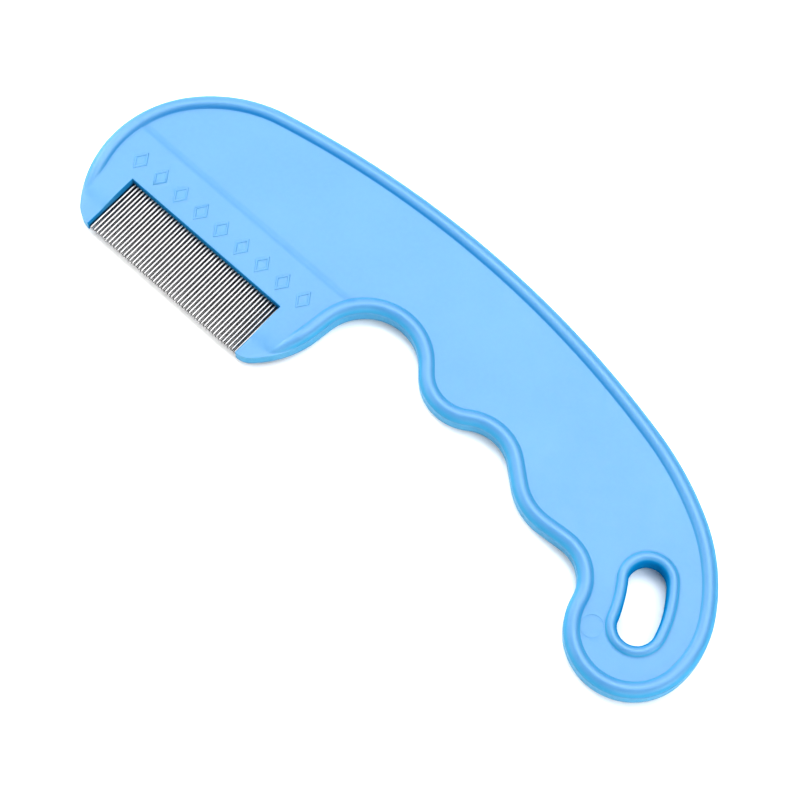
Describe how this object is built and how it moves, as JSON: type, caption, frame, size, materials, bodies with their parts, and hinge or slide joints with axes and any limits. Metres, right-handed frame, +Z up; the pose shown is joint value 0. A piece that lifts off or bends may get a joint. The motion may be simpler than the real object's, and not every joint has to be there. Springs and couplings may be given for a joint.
{
  "type": "flea comb",
  "caption": "Curved moulded handle with finger hollows and a hanging hole; its head holds a fine row of round steel pins as teeth.",
  "frame": {"origin": "under the middle of the comb's box, in the plane that the comb lies on", "axes": "+X along the row of teeth, from the nose of the head to the end with the hanging hole; the teeth point towards -Y; +Z up through the thickness"},
  "size_m": [0.1736, 0.0582, 0.006],
  "materials": {
    "plastic": "satin moulded polypropylene, sky blue",
    "steel": "polished drawn stainless steel wire"
  },
  "bodies": {
    "root": {"handle": "plastic", "tooth_01": "steel", "tooth_02": "steel", "tooth_03": "steel", "tooth_04": "steel", "tooth_05": "steel", "tooth_06": "steel", "tooth_07": "steel", "tooth_08": "steel", "tooth_09": "steel", "tooth_10": "steel", "tooth_11": "steel", "tooth_12": "steel", "tooth_13": "steel", "tooth_14": "steel", "tooth_15": "steel", "tooth_16": "steel", "tooth_17": "steel", "tooth_18": "steel", "tooth_19": "steel", "tooth_20": "steel", "tooth_21": "steel", "tooth_22": "steel", "tooth_23": "steel", "tooth_24": "steel", "tooth_25": "steel", "tooth_26": "steel", "tooth_27": "steel", "tooth_28": "steel", "tooth_29": "steel", "tooth_30": "steel", "tooth_31": "steel", "tooth_32": "steel", "tooth_33": "steel", "tooth_34": "steel", "tooth_35": "steel", "tooth_36": "steel", "tooth_37": "steel", "tooth_38": "steel", "tooth_39": "steel", "tooth_40": "steel", "tooth_41": "steel", "tooth_42": "steel", "tooth_43": "steel", "tooth_44": "steel", "tooth_45": "steel", "tooth_46": "steel", "tooth_47": "steel", "tooth_48": "steel", "tooth_49": "steel"}
  },
  "joints": []
}
